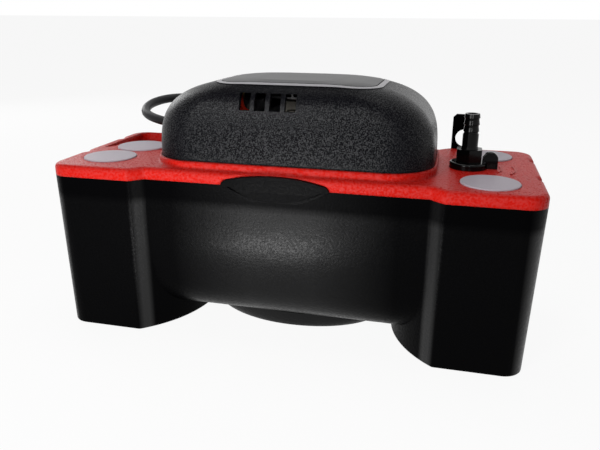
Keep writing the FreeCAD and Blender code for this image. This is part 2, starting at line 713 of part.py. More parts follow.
def make_stator():
    """Laminated stack: a pole block round the rotor and two arms out to the bridge."""
    stack = box(STATOR_NEAR_X, STATOR_FAR_X, -STATOR_HALF_Y, STATOR_HALF_Y, STACK_LOW_Z, STACK_HIGH_Z)
    inner_y = STATOR_HALF_Y - STATOR_ARM
    window = box(-STATOR_NEAR_X - 1.0, STATOR_FAR_X + 1, -inner_y, inner_y, STACK_LOW_Z - 1, STACK_HIGH_Z + 1)
    corners = [e for e in stack.Edges if e.Length < STACK_HEIGHT + 0.1 and e.Length > STACK_HEIGHT - 0.1]
    stack = stack.makeFillet(2.5, corners)
    cuts = [window, rod(ROTOR_R + AIR_GAP, STACK_LOW_Z - 1, STACK_HIGH_Z + 1)]
    for side in (-1, 1):
        cuts.append(rod(BOLT_R + 0.1, STACK_LOW_Z - 1, STACK_HIGH_Z + 1, 0.0, side * BOLT_Y))
    return stack.cut(cuts)


def make_bridge():
    inner_y = STATOR_HALF_Y - STATOR_ARM
    return box(BRIDGE_X[0], BRIDGE_X[1], -inner_y, inner_y, STACK_LOW_Z, STACK_HIGH_Z)


def bobbin_parts():
    inner_y = STATOR_HALF_Y - STATOR_ARM
    tube_wall = 1.0
    flange = 1.2
    half_y = inner_y - 0.3
    x0 = BRIDGE_X[0] - tube_wall
    x1 = BRIDGE_X[1] + tube_wall
    z0 = STACK_LOW_Z - tube_wall
    z1 = STACK_HIGH_Z + tube_wall
    grow = WINDING_THICK - tube_wall
    core = box(x0, x1, -half_y, half_y, z0, z1)
    ends = []
    for side in (-1, 1):
        y0, y1 = sorted((side * half_y, side * (half_y - flange)))
        ends.append(box(x0 - grow, x1 + grow, y0, y1, z0 - grow, z1 + grow))
    hole = box(BRIDGE_X[0], BRIDGE_X[1], -half_y - 1, half_y + 1, STACK_LOW_Z, STACK_HIGH_Z)
    bobbin = join([core] + ends).cut(hole)
    wound = grow - 0.8
    y_wound = half_y - flange
    winding = box(x0 - wound, x1 + wound, -y_wound, y_wound, z0 - wound, z1 + wound)
    long_edges = [e for e in winding.Edges if abs(e.Length - 2 * y_wound) < 0.01]
    winding = winding.makeFillet(4.0, long_edges)
    winding = winding.cut(box(x0, x1, -half_y, half_y, z0, z1))
    return bobbin, winding


def make_bracket(mirror):
    """Stamped strap across the stack with a pan for the bearing; mirror puts it on top."""
    t = BRACKET_THICK
    flat = STACK_LOW_Z
    pan = STACK_LOW_Z - BRACKET_DEPTH
    end = STATOR_HALF_Y - 0.5
    lean = 0.6 * t
    half = [
        (end, flat), (PAN_HALF + PAN_RAMP, flat), (PAN_HALF, pan), (0.0, pan), (0.0, pan - t),
        (PAN_HALF + lean, pan - t), (PAN_HALF + PAN_RAMP + lean, flat - t), (end, flat - t),
    ]
    middle = STACK_LOW_Z + STACK_HIGH_Z
    points = []
    for y, z in half:
        points.append(V(-BRACKET_WIDTH / 2, y, middle - z if mirror else z))
    side = Part.Face(Part.makePolygon(points + [points[0]])).extrude(V(BRACKET_WIDTH, 0, 0))
    other = side.mirror(V(0, 0, 0), V(0, 1, 0))
    strap = join([side, other])
    low = min(pan - t, pan) - 1
    z0, z1 = (middle - low - 5, middle - low + 5) if mirror else (low - 5, low + 5)
    cuts = [rod(BEARING_R, z0, z1)]
    for y in (-BOLT_Y, BOLT_Y):
        cuts.append(rod(BOLT_R, z0 - 20, z1 + 20, 0.0, y))
    return strap.cut(cuts)


def make_bearing(mirror):
    pan_mid = STACK_LOW_Z - BRACKET_DEPTH - BRACKET_THICK / 2
    middle = STACK_LOW_Z + STACK_HIGH_Z
    centre = middle - pan_mid if mirror else pan_mid
    z0 = centre - BEARING_LENGTH / 2
    z1 = centre + BEARING_LENGTH / 2
    body = rod(BEARING_R, z0, z1)
    body = body.makeFillet(1.6, [e for e in body.Edges if e.Length > 20])
    return body.cut(rod(SHAFT_R + RUN_GAP, z0 - 1, z1 + 1))


def make_rotor():
    core = tube(ROTOR_R, SHAFT_R, STACK_LOW_Z, STACK_HIGH_Z)
    ring_r = ROTOR_R - 0.8
    bar_r = 0.9
    bar_circle = ring_r - 1.6
    count = 9
    bars = []
    for i in range(count):
        angle = 2 * math.pi * i / count
        bars.append(rod(bar_r, STACK_LOW_Z - 1.5, STACK_HIGH_Z + 1.5,
                        bar_circle * math.cos(angle), bar_circle * math.sin(angle)))
    rings = [tube(ring_r, ring_r - 4.0, STACK_LOW_Z - 2.6, STACK_LOW_Z),
             tube(ring_r, ring_r - 4.0, STACK_HIGH_Z, STACK_HIGH_Z + 2.6)]
    return core.cut(bars), join(rings + bars)


def make_fan():
    """Cooling fan: hub, disc and flat radial blades."""
    low = 2 * STACK_LOW_Z + STACK_HEIGHT - (STACK_LOW_Z - BRACKET_DEPTH - BRACKET_THICK / 2)
    low = low + BEARING_LENGTH / 2 + 0.6
    parts = [rod(5.0, low, low + FAN_HEIGHT), rod(FAN_R, low, low + 1.2)]
    blades = 8
    for i in range(blades):
        blade = box(6.0, FAN_R - 0.5, -0.6, 0.6, low + 0.6, low + FAN_HEIGHT)
        blade = blade.fuse(box(4.0, 6.5, -0.6, 0.6, low + 0.6, low + FAN_HEIGHT))
        blade.rotate(V(0, 0, 0), V(0, 0, 1), 360.0 * i / blades)
        parts.append(blade)
    return join(parts).cut(rod(SHAFT_R, low - 1, low + FAN_HEIGHT + 1))


def make_bolts():
    low = DECK_UNDER_Z + 2.5
    top = STACK_HIGH_Z + BRACKET_THICK
    bolts = []
    for side in (-1, 1):
        head = Part.makeCylinder(3.6, 2.4, V(0, side * BOLT_Y, top))
        bolts.append(rod(BOLT_R, low, top + 0.5, 0.0, side * BOLT_Y).fuse(head).removeSplitter())
    return Part.Compound(bolts)


# Pump

def scroll_wire(grow, z):
    """Plan of the volute: the radius opens steadily over one turn from the front."""
    points = []
    steps = 12
    for i in range(steps + 1):
        turn = i / steps
        angle = math.radians(-90 + 360 * turn)
        r = VOLUTE_INNER_R + VOLUTE_SPREAD * turn + grow
        points.append(V(r * math.cos(angle), r * math.sin(angle), z))
    curve = Part.BSplineCurve()
    curve.interpolate(points)
    close = Part.LineSegment(points[-1], points[0]).toShape()
    return Part.Wire([curve.toShape(), close])


def nozzle_place():
    return -(VOLUTE_INNER_R + VOLUTE_SPREAD - NIPPLE_R + 0.6), 0.5 * (VOLUTE_COVER_Z + 2.0 + VOLUTE_ROOF_Z)


def volute_screw_places():
    """Screw places round the scroll, each just outside its wall."""
    places = []
    for turn in (0.07, 0.40, 0.72):
        angle = math.radians(-90 + 360 * turn)
        r = VOLUTE_INNER_R + VOLUTE_SPREAD * turn + VOLUTE_WALL + 1.6
        places.append((r * math.cos(angle), r * math.sin(angle)))
    return places


def make_column():
    """Column that hangs the pump from the deck, moulded in one with the scroll housing."""
    rim_z = VOLUTE_COVER_Z + 2.0
    roof = VOLUTE_ROOF_Z
    flange_z = DECK_UNDER_Z - COLUMN_FLANGE_THICK
    nozzle_y, nozzle_z = nozzle_place()
    parts = [
        prism(scroll_wire(VOLUTE_WALL, rim_z), roof + 2.0 - rim_z),
        rod(COLUMN_R, roof + 1, DECK_UNDER_Z - 1),
        rod(COLUMN_FLANGE_R, flange_z, DECK_UNDER_Z),
        Part.makeCylinder(NIPPLE_R, NOZZLE_LENGTH, V(0, nozzle_y, nozzle_z), V(1, 0, 0)),
    ]
    for x, y in volute_screw_places():
        parts.append(rod(3.3, rim_z, rim_z + 6.0, x, y))
    for i in range(4):
        rib = Part.Face(Part.makePolygon([
            V(COLUMN_R - 1, -1, flange_z + 0.5), V(COLUMN_FLANGE_R - 0.5, -1, flange_z + 0.5),
            V(COLUMN_R - 1, -1, flange_z - 16), V(COLUMN_R - 1, -1, flange_z + 0.5),
        ])).extrude(V(0, 2, 0))
        rib.rotate(V(0, 0, 0), V(0, 0, 1), 45 + 90 * i)
        parts.append(rib)
    body = join(parts)
    cuts = [
        prism(scroll_wire(0.0, rim_z - 1), roof - rim_z + 1),
        rod(COLUMN_BORE_R, roof + 2.0, DECK_UNDER_Z + 1),
        rod(SHAFT_R + 0.9, roof - 1, roof + 3),
        Part.makeCylinder(NIPPLE_BORE_R, NOZZLE_LENGTH + 2, V(0, nozzle_y, nozzle_z), V(1, 0, 0)),
    ]
    for x, y in volute_screw_places():
        cuts.append(rod(SCREW_R, rim_z - 1, rim_z + 5.0, x, y))
    for low, high in ((26.0, 46.0), (54.0, 74.0)):
        cuts.append(box(-COLUMN_R - 1, COLUMN_R + 1, -3.0, 3.0, low, high))
    for x, y in column_screw_places():
        cuts.append(rod(SCREW_R, flange_z - 1, DECK_UNDER_Z + 1, x, y))
    return body.cut(cuts)


def column_screw_places():
    r = 0.5 * (COLUMN_R + COLUMN_FLANGE_R) + 0.4
    return [(r * math.cos(a), r * math.sin(a)) for a in (0.0, 2 * math.pi / 3, 4 * math.pi / 3)]


def make_column_screws():
    screws = []
    for x, y in column_screw_places():
        shank = rod(SCREW_R, DECK_UNDER_Z - COLUMN_FLANGE_THICK, DECK_Z + 0.5, x, y)
        screws.append(shank.fuse(rod(SCREW_HEAD_R, DECK_Z, DECK_Z + 1.6, x, y)).removeSplitter())
    return Part.Compound(screws)


def make_volute_cover():
    """Plate under the impeller, with the intake hole and three short feet."""
    z = VOLUTE_COVER_Z
    parts = [prism(scroll_wire(VOLUTE_WALL, z), 2.0)]
    for x, y in volute_screw_places():
        parts.append(rod(3.3, z, z + 2.0, x, y))
    for angle in (105, 225, 345):
        a = math.radians(angle)
        parts.append(rod(1.6, z - 2.0, z + 1.0, 12.0 * math.cos(a), 12.0 * math.sin(a)))
    cuts = [rod(INTAKE_R, z - 1, z + 3)]
    for x, y in volute_screw_places():
        cuts.append(rod(SCREW_R, z - 1, z + 3, x, y))
    return join(parts).cut(cuts)


def make_volute_screws():
    screws = []
    for x, y in volute_screw_places():
        shank = rod(SCREW_R, VOLUTE_COVER_Z - 0.5, VOLUTE_COVER_Z - 0.5 + VOLUTE_SCREW_LENGTH, x, y)
        head = rod(SCREW_HEAD_R, VOLUTE_COVER_Z - 1.5, VOLUTE_COVER_Z, x, y)
        screws.append(shank.fuse(head).removeSplitter())
    return Part.Compound(screws)


def make_impeller():
    """Shroud above, curved blades below, open towards the intake."""
    low = IMPELLER_BASE_Z
    shroud = low + BLADE_HEIGHT - 1.2
    parts = [rod(IMPELLER_R, shroud, shroud + 1.4), rod(4.2, low - 0.4, shroud + 2.0)]
    arc_r = 9.5
    ring = tube(arc_r + 0.7, arc_r - 0.7, low, shroud + 0.5, arc_r - 0.5)
    half = box(-20, 20, 0, 20, low - 1, shroud + 1)
    within = rod(IMPELLER_R - 0.3, low - 1, shroud + 1)
    blade = ring.common(half).common(within)
    for i in range(BLADE_COUNT):
        turned_blade = blade.copy()
        turned_blade.rotate(V(0, 0, 0), V(0, 0, 1), 360.0 * i / BLADE_COUNT)
        parts.append(turned_blade)
    return join(parts).cut(rod(SHAFT_R, low - 2, shroud + 4))


# Paths of hoses and cords

def rounded_path(points, label):
    """Straight runs joined by tangent arcs, each as large as its two runs allow."""
    pts = [V(*p) for p in points]
    edges = []
    at = pts[0]
    radii = []
    for i in range(1, len(pts) - 1):
        back = pts[i - 1].sub(pts[i])
        ahead = pts[i + 1].sub(pts[i])
        reach = 0.45 * min(back.Length, ahead.Length)
        back.normalize()
        ahead.normalize()
        half = 0.5 * (math.pi - back.getAngle(ahead))
        r = reach / math.tan(half)
        radii.append(round(r, 1))
        start = pts[i] + back * reach
        end = pts[i] + ahead * reach
        inward = back + ahead
        inward.normalize()
        middle = pts[i] + inward * (r / math.cos(half) - r)
        edges.append(Part.LineSegment(at, start).toShape())
        edges.append(Part.Arc(start, middle, end).toShape())
        at = end
    edges.append(Part.LineSegment(at, pts[-1]).toShape())
    print(label, "radii", radii, "length", round(sum(e.Length for e in edges), 1))
    return Part.Wire(edges)


def pipe(points, r, label):
    path = rounded_path(points, label)
    start = V(*points[0])
    way = V(*points[1]).sub(start)
    ring = Part.Wire([Part.Circle(start, way, r).toShape()])
    solid = path.makePipeShell([ring], True, False)
    solid = Part.Solid(solid) if solid.ShapeType != "Solid" else solid
    if solid.Volume < 0:
        solid.reverse()
    print(label, "volume over section times length", round(solid.Volume / (math.pi * r * r * path.Length), 4))
    return solid


def hose_points():
    nozzle_y, nozzle_z = nozzle_place()
    top = SPIGOT_LOW_Z - 2.5
    return [
        (HOSE_START_X, nozzle_y, nozzle_z), (36.0, nozzle_y, nozzle_z), (58.0, 0.85 * nozzle_y, 25.0),
        (88.0, 0.35 * nozzle_y, 44.0), (VALVE_X, 0.0, 68.0), (VALVE_X, 0.0, top),
    ]


def make_hose():
    outer = pipe(hose_points(), HOSE_R, "discharge tube")
    inner = pipe(hose_points(), NIPPLE_R, "discharge tube bore")
    return outer.cut(inner)


def make_hose_clamps():
    nozzle_y, nozzle_z = nozzle_place()
    start = V(HOSE_START_X + 2.0, nozzle_y, nozzle_z)
    low = Part.makeCylinder(HOSE_R + 1.0, CLAMP_WIDTH, start, V(1, 0, 0))
    low = low.cut(Part.makeCylinder(HOSE_R, CLAMP_WIDTH, start, V(1, 0, 0)))
    high = tube(HOSE_R + 1.0, HOSE_R, NIPPLE_LOW_Z + 4.0, NIPPLE_LOW_Z + 4.0 + CLAMP_WIDTH, VALVE_X)
    return Part.Compound([low, high])


# Outlet valve

def make_valve_body():
    """Bayonet spigot, flange with finger tab, hexagon and ribbed hose barb."""
    flange_low = DECK_Z + 0.2
    corner_r = HEX_ACROSS / math.sqrt(3.0)
    hexagon = Part.makePolygon([V(VALVE_X + corner_r * math.cos(math.radians(30 + 60 * i)),
                                  corner_r * math.sin(math.radians(30 + 60 * i)), HEX_BASE_Z - 0.5)
                                for i in range(7)])
    land_top = BARB_BASE_Z + BARB_LAND
    profile = [
        (0.0, BARB_BASE_Z - 0.5), (BARB_ROOT_R, BARB_BASE_Z - 0.5), (BARB_ROOT_R, BARB_BASE_Z),
        (BARB_LAND_R, BARB_BASE_Z + BARB_ROOT), (BARB_LAND_R, land_top),
    ]
    ring_step = (BARB_TOP_Z - land_top) / BARB_RINGS
    for i in range(BARB_RINGS):
        z = land_top + i * ring_step
        profile.append((BARB_TOP_R, z + 0.01))
        profile.append((BARB_TOP_R, z + 0.3 * ring_step))
        profile.append((BARB_LAND_R - 0.05, z + 0.4 * ring_step))
        profile.append((BARB_TOP_R + 0.05, z + ring_step))
    profile.append((0.0, BARB_TOP_Z))
    groove = tube(SPIGOT_R + 1, SPIGOT_R - 1.35, RING_Z - 0.8, RING_Z + 0.8, VALVE_X)
    lugs = []
    lug_high = DECK_Z - 3.0
    for angle in (0, 180):
        lugs.append(wedge_of(SPIGOT_R + LUG_REACH, lug_high - 1.9, lug_high, angle, 50.0, VALVE_X))
    spigot = rod(SPIGOT_R, SPIGOT_LOW_Z + 0.2, flange_low + 1, VALVE_X)
    spigot = spigot.cut(groove)
    flange = rod(VALVE_FLANGE_R, flange_low, HEX_BASE_Z, VALVE_X)
    flange_edges = [e for e in flange.Edges if e.BoundBox.ZMin > HEX_BASE_Z - 0.01 and e.Length > 20]
    flange = flange.makeFillet(1.2, flange_edges)
    block = prism(hexagon, HEX_HEIGHT + 0.5)
    body = join([spigot, flange, block, turned(profile, VALVE_X), finger_tab()] + lugs)
    chamber_high = HEX_BASE_Z - 0.6
    cuts = [
        rod(VALVE_BORE_R, chamber_high - 1, BARB_TOP_Z + 1, VALVE_X),
        rod(CHAMBER_R, SPIGOT_LOW_Z + 0.2 + SEAT_THICK, chamber_high, VALVE_X),
        rod(SEAT_R, SPIGOT_LOW_Z - 1, chamber_high, VALVE_X),
    ]
    return body.cut(cuts)


def finger_tab():
    """Upright tab with a round top at the edge of the flange, for turning the valve by hand."""
    low = DECK_Z + 0.2
    x0 = VALVE_X + VALVE_FLANGE_R - 3.2
    x1 = x0 + TAB_WIDTH
    shoulder = low + TAB_HEIGHT - TAB_WIDTH / 2
    outline = [
        Part.LineSegment(V(x0, 0, low), V(x1, 0, low)).toShape(),
        Part.LineSegment(V(x1, 0, low), V(x1, 0, shoulder)).toShape(),
        Part.Arc(V(x1, 0, shoulder), V(0.5 * (x0 + x1), 0, low + TAB_HEIGHT), V(x0, 0, shoulder)).toShape(),
        Part.LineSegment(V(x0, 0, shoulder), V(x0, 0, low)).toShape(),
    ]
    tab = Part.Face(Part.Wire(outline)).extrude(V(0, TAB_THICK, 0))
    tab.translate(V(0, -TAB_THICK / 2, 0))
    rims = [e for e in tab.Edges if e.BoundBox.YLength < 0.01 and e.BoundBox.ZMax > low + 0.1]
    return tab.makeFillet(0.7, rims)


def make_valve_ring():
    return Part.makeTorus(SPIGOT_R - 1.35 + RING_WIRE_R + 0.02, RING_WIRE_R, V(VALVE_X, 0, RING_Z))


def poppet_low():
    return SPIGOT_LOW_Z + 0.2 + SEAT_THICK + 0.05


def make_poppet():
    low = poppet_low()
    disc = rod(POPPET_R, low, low + POPPET_THICK, VALVE_X)
    return disc.fuse(rod(1.1, low + 0.5, low + POPPET_THICK + 3.5, VALVE_X)).removeSplitter()


def make_valve_spring():
    low = poppet_low() + POPPET_THICK + SPRING_WIRE_R + 0.05
    high = HEX_BASE_Z - 0.6 - SPRING_WIRE_R - 0.05
    helix = Part.makeHelix((high - low) / SPRING_TURNS, high - low, SPRING_MEAN_R)
    ring = Part.Wire([Part.Circle(V(SPRING_MEAN_R, 0, 0), V(0, 1, 0), SPRING_WIRE_R).toShape()])
    spring = Part.Wire(helix).makePipeShell([ring], True, True)
    spring.translate(V(VALVE_X, 0, low))
    return spring


# Level control

def make_float():
    half_x = FLOAT_SIZE[0] / 2
    half_y = FLOAT_SIZE[1] / 2
    block = prism(rounded_rectangle(half_x, half_y, 8.0, FLOAT_LOW_Z, (FLOAT_CENTRE_X, 0.0)), FLOAT_SIZE[2])
    rims = [e for e in block.Edges if e.BoundBox.ZLength < 0.01]
    block = block.makeFillet(3.0, rims)
    return block.cut(rod(STEM_R, FLOAT_LOW_Z - 1, FLOAT_LOW_Z + FLOAT_SIZE[2] + 1, STEM_X))


def make_stem():
    droop = math.radians(LEVER_DROOP)
    top = pin_z() - eye_r() / math.cos(droop) - (LEVER_REACH + STEM_R) * math.tan(droop) - TOUCH_GAP
    stem = rod(STEM_R, FLOAT_LOW_Z - 2.5, top, STEM_X)
    tip = [e for e in stem.Edges if e.BoundBox.ZMin > top - 0.01]
    return stem.makeFillet(1.0, tip)


def make_stem_clips():
    """Push-on clips: the upper one stops the float's fall on the guide, the lower two hold the float."""
    lows = (GUIDE_TOP_Z + 0.3, FLOAT_LOW_Z + FLOAT_SIZE[2], FLOAT_LOW_Z - CLIP_THICK)
    return Part.Compound([tube(CLIP_R, STEM_R, low, low + CLIP_THICK, STEM_X) for low in lows])


def eye_r():
    return PIN_R + 0.8


def pin_z():
    return LEVER_LOW_Z + eye_r()


def make_switch_body():
    length, depth, height = SWITCH_SIZE
    x1 = SWITCH_PIN_X + 1.5
    x0 = x1 - length
    z0 = SWITCH_LOW_Z
    body = box(x0, x1, -depth / 2, depth / 2, z0, z0 + height)
    body = body.makeFillet(0.8, [e for e in body.Edges if abs(e.Length - depth) < 0.01])
    parts = [body]
    for side in (-1, 1):
        y0, y1 = sorted((side * 3.0, side * 4.6))
        parts.append(box(SWITCH_PIN_X - 1.9, SWITCH_PIN_X + 1.5, y0, y1, pin_z() - 1.7, z0 + 1))
    body = join(parts)
    button_x = SWITCH_PIN_X - BUTTON_REACH
    cuts = [
        Part.makeCylinder(PIN_R, 12.0, V(SWITCH_PIN_X, -6, pin_z()), V(0, 1, 0)),
        rod(BUTTON_R + RUN_GAP, z0 - 1, z0 + 8.6, button_x),
    ]
    for x in switch_screw_x():
        cuts.append(Part.makeCylinder(SCREW_R, depth + 2, V(x, -depth / 2 - 1, switch_screw_z()), V(0, 1, 0)))
    return body.cut(cuts)


def switch_screw_x():
    x1 = SWITCH_PIN_X + 1.5
    return (x1 - SWITCH_SIZE[0] + 5.0, x1 - 6.0)


def switch_screw_z():
    return SWITCH_LOW_Z + 0.7 * SWITCH_SIZE[2]


def make_switch_screws():
    screws = []
    y0 = -SWITCH_SIZE[1] / 2
    length = SWITCH_SIZE[1] + 2.4
    for x in switch_screw_x():
        z = switch_screw_z()
        shank = Part.makeCylinder(SCREW_R, length, V(x, y0, z), V(0, 1, 0))
        head = Part.makeCylinder(SCREW_HEAD_R, 1.5, V(x, y0 - 1.5, z), V(0, 1, 0))
        screws.append(shank.fuse(head).removeSplitter())
    return Part.Compound(screws)


def terminal_places():
    x1 = SWITCH_PIN_X + 1.5
    return (x1 - 22.0, x1 - 13.0)


def make_switch_terminals():
    top = SWITCH_LOW_Z + SWITCH_SIZE[2]
    return Part.Compound([box(x - 0.4, x + 0.4, -2.4, 2.4, top, top + TERMINAL_HEIGHT)
                          for x in terminal_places()])


def make_lead_wires():
    """Two insulated wires from the winding, along the laminations' front edge, to the terminals."""
    wires = []
    start_x = BRIDGE_X[0] - WINDING_THICK + 0.4
    start_z = STACK_HIGH_Z + 4.0
    run_z = STACK_HIGH_Z + 2.0
    end_z = SWITCH_LOW_Z + SWITCH_SIZE[2] + TERMINAL_HEIGHT + WIRE_R + 0.05
    first_y = -STATOR_HALF_Y - 2.0 * WIRE_R
    for start_y, run_y, end_x in zip((-5.0, -10.0), (first_y, first_y - 3.0), reversed(terminal_places())):
        route = [
            (start_x, start_y, start_z), (start_x - 10.0, start_y - 2.0, start_z), (14.0, run_y, run_z),
            (-30.0, run_y, run_z), (end_x + 3.0, 0.5 * run_y, end_z), (end_x, 0.0, end_z),
        ]
        wires.append(pipe(route, WIRE_R, "lead wire"))
    return Part.Compound(wires)


def make_lever():
    """Thin strip with a rolled eye round the pin."""
    eye = Part.makeCylinder(eye_r(), 5.0, V(SWITCH_PIN_X, -2.5, pin_z()), V(0, 1, 0))
    hole = Part.makeCylinder(PIN_R + RUN_GAP, 7.0, V(SWITCH_PIN_X, -3.5, pin_z()), V(0, 1, 0))
    strip = box(STEM_X - 4.0, SWITCH_PIN_X, -2.5, 2.5, LEVER_LOW_Z, LEVER_LOW_Z + LEVER_THICK)
    lever = join([eye, strip]).cut(hole)
    lever.rotate(V(SWITCH_PIN_X, 0, pin_z()), V(0, 1, 0), -LEVER_DROOP)
    return lever


def make_lever_pin():
    return Part.makeCylinder(PIN_R, 9.2, V(SWITCH_PIN_X, -4.6, pin_z()), V(0, 1, 0))


def make_button():
    x = SWITCH_PIN_X - BUTTON_REACH
    droop = math.radians(LEVER_DROOP)
    lever_top = pin_z() - (eye_r() - LEVER_THICK) / math.cos(droop) - BUTTON_REACH * math.tan(droop)
    centre = lever_top + (BUTTON_R + TOUCH_GAP) / math.cos(droop)
    ball = Part.makeSphere(BUTTON_R, V(x, 0, centre))
    return ball.fuse(rod(BUTTON_R, centre, SWITCH_LOW_Z + 6.0, x)).removeSplitter()


# Cord

def relief_tip():
    return V(*RELIEF_ROOT) + V(*RELIEF_WAY).normalize() * RELIEF_LENGTH


def cord_points():
    """Route chosen by hand: out of the relief, round the open loop, down the back to the coil."""
    tip = relief_tip()
    ahead = tip + V(*RELIEF_WAY).normalize() * 21.5
    return [
        (tip.x, tip.y, tip.z),
        (ahead.x, ahead.y, ahead.z),
        (-146.3, 69.8, 128.2),
        (-138.8, 93.5, 131.6),
        (-116.7, 105.0, 131.6),
        (-92.0, 100.0, 128.0),
        (-84.0, 92.0, 98.0),
        (-84.0, 85.0, 64.0),
        (-76.0, 77.0, 26.0),
        (-52.0, 71.0, 6.5),
        (-24.0, coil_front_y(), CORD_R),
        (coil_lead_x(), coil_front_y(), CORD_R),
    ]


def coil_outer_turn():
    return COIL_MID_R + 0.5 * COIL_PITCH * (COIL_ROWS - 1)


def coil_front_y():
    return COIL_CENTRE[1] - coil_outer_turn()


def coil_lead_x():
    return COIL_CENTRE[0] - COIL_LEAD


def make_relief():
    """Tapered sleeve from the cover's corner to the free cord, with a collar behind the wall."""
    tip = relief_tip()
    root = V(*RELIEF_ROOT)
    way = V(*RELIEF_WAY).normalize()
    body = Part.makeCone(RELIEF_ROOT_R, CORD_R + 0.3, RELIEF_LENGTH, root, way)
    neck = Part.makeCylinder(RELIEF_ROOT_R - 0.8, 5.5, root - way * 5.0, way)
    collar = Part.makeCylinder(RELIEF_ROOT_R + 0.8, 2.0, root - way * 6.5, way)
    return join([body, neck, collar])


def relief_hole():
    way = V(*RELIEF_WAY).normalize()
    return Part.makeCylinder(RELIEF_ROOT_R - 0.8, 16.0, V(*RELIEF_ROOT) - way * 8.0, way)


def make_coil():
    """Closed outer shape of the coiled cord, with the two straight leads of its outer turns."""
    half = 0.5 * COIL_PITCH * (COIL_ROWS - 1) + CORD_R
    top = 2 * CORD_R + COIL_PITCH * (COIL_LAYERS - 1)
    ring = tube(COIL_MID_R + half, COIL_MID_R - half, 0.0, top, COIL_CENTRE[0], COIL_CENTRE[1])
    leads = []
    for y, z in ((coil_front_y(), CORD_R), (plug_place().y, plug_place().z)):
        leads.append(Part.makeCylinder(CORD_R, COIL_LEAD, V(coil_lead_x(), y, z), V(1, 0, 0)))
    return join([ring] + leads)


def plug_place():
    """Where the plug's neck meets the lead at the back of the coil."""
    return V(coil_lead_x(), COIL_CENTRE[1] + coil_outer_turn(), CORD_R + COIL_PITCH * (COIL_LAYERS - 1))


def make_plug():
    tip = plug_place()
    half_h = tip.z
    neck = Part.makeCone(CORD_R + 0.5, 6.5, PLUG_NECK, tip, V(-1, 0, 0))
    sections = []
    for along, w, h in ((0.0, 7.5, 7.0), (10.0, 10.8, 9.2), (22.0, PLUG_HALF_W, half_h),
                        (PLUG_LENGTH, PLUG_HALF_W, half_h)):
        ring = rounded_rectangle(h, w, 0.5 * h, 0.0)
        ring.rotate(V(0, 0, 0), V(0, 1, 0), 90)
        ring.translate(V(tip.x - PLUG_NECK + 1.0 - along, tip.y, tip.z))
        sections.append(ring)
    return join([neck, Part.makeLoft(sections, True, True)])


def make_blades():
    """Two flat blades and the round earth pin."""
    tip = plug_place()
    x1 = tip.x - PLUG_NECK + 1.0 - PLUG_LENGTH
    blades = []
    for side in (-1, 1):
        y = tip.y + side * 6.35
        blades.append(box(x1 - BLADE_LENGTH, x1, y - 0.8, y + 0.8, tip.z - 5.0, tip.z + 1.35))
    blades.append(Part.makeCylinder(2.4, BLADE_LENGTH + 3.0, V(x1, tip.y, tip.z + 6.0), V(-1, 0, 0)))
    return Part.Compound(blades)


save("tank", make_tank())
save("cover_plate", make_lid())
save("motor_cover", make_cover().cut(relief_hole()))
for cap_label, cap_x, cap_y in INLETS:
    save("inlet_cap_" + cap_label, on_deck(make_inlet_cap(), cap_x, cap_y))
save("stator_stack", make_stator())
save("bridge_core", make_bridge())
bobbin_shape, winding_shape = bobbin_parts()
save("coil_bobbin", bobbin_shape)
save("motor_winding", winding_shape)
save("lower_bracket", make_bracket(False))
save("upper_bracket", make_bracket(True))
save("lower_bearing", make_bearing(False))
save("upper_bearing", make_bearing(True))
rotor_shape, cage_shape = make_rotor()
save("rotor_core", rotor_shape)
save("rotor_cage", cage_shape)
save("motor_shaft", rod(SHAFT_R, IMPELLER_BASE_Z - 0.4, SHAFT_TOP_Z))
save("cooling_fan", make_fan())
save("shaft_slinger", tube(SLINGER_R, SHAFT_R, DECK_Z + 0.5, DECK_Z + 1.7))
save("motor_bolts", make_bolts())
save("pump_column", make_column())
save("column_screws", make_column_screws())
save("volute_cover", make_volute_cover())
save("volute_screws", make_volute_screws())
save("impeller", make_impeller())
save("discharge_tube", make_hose())
save("hose_clamps", make_hose_clamps())
save("valve_body", make_valve_body())
save("valve_o_ring", make_valve_ring())
save("valve_poppet", make_poppet())
save("valve_spring", make_valve_spring())
save("float", make_float())
save("float_stem", make_stem())
save("stem_clips", make_stem_clips())
save("switch_body", make_switch_body())
save("switch_screws", make_switch_screws())
save("switch_terminals", make_switch_terminals())
save("lead_wires", make_lead_wires())
save("switch_lever", make_lever())
save("lever_pin", make_lever_pin())
save("switch_button", make_button())
save("strain_relief", make_relief())
save("power_cord", pipe(cord_points(), CORD_R, "power cord"))
save("cord_coil", make_coil())
save("power_plug", make_plug())
save("plug_blades", make_blades())
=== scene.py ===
import bpy
import json
import math
from mathutils import Matrix, Vector


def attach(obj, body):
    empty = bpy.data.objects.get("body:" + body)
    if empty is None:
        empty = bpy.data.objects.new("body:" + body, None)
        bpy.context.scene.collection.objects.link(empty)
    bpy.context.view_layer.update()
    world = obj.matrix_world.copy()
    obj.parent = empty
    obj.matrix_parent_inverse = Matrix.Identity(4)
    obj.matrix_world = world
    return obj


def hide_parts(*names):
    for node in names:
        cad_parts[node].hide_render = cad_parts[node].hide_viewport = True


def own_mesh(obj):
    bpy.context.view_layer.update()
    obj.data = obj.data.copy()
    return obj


# Everything is in metres, in the frame of the CAD model: +Z up, +X towards the outlet
# valve, -Y the front, the origin on the floor under the middle of the tank.

CORD_DIAMETER = 0.0068

# Where the strain relief leaves the motor cover, and its direction and length
RELIEF_ROOT = (-0.08485, 0.03133, 0.11816)
RELIEF_WAY = (-0.949, 0.302, 0.09)
RELIEF_LENGTH = 0.032
RELIEF_AHEAD = 0.0215         # straight run of the cord past the strain relief

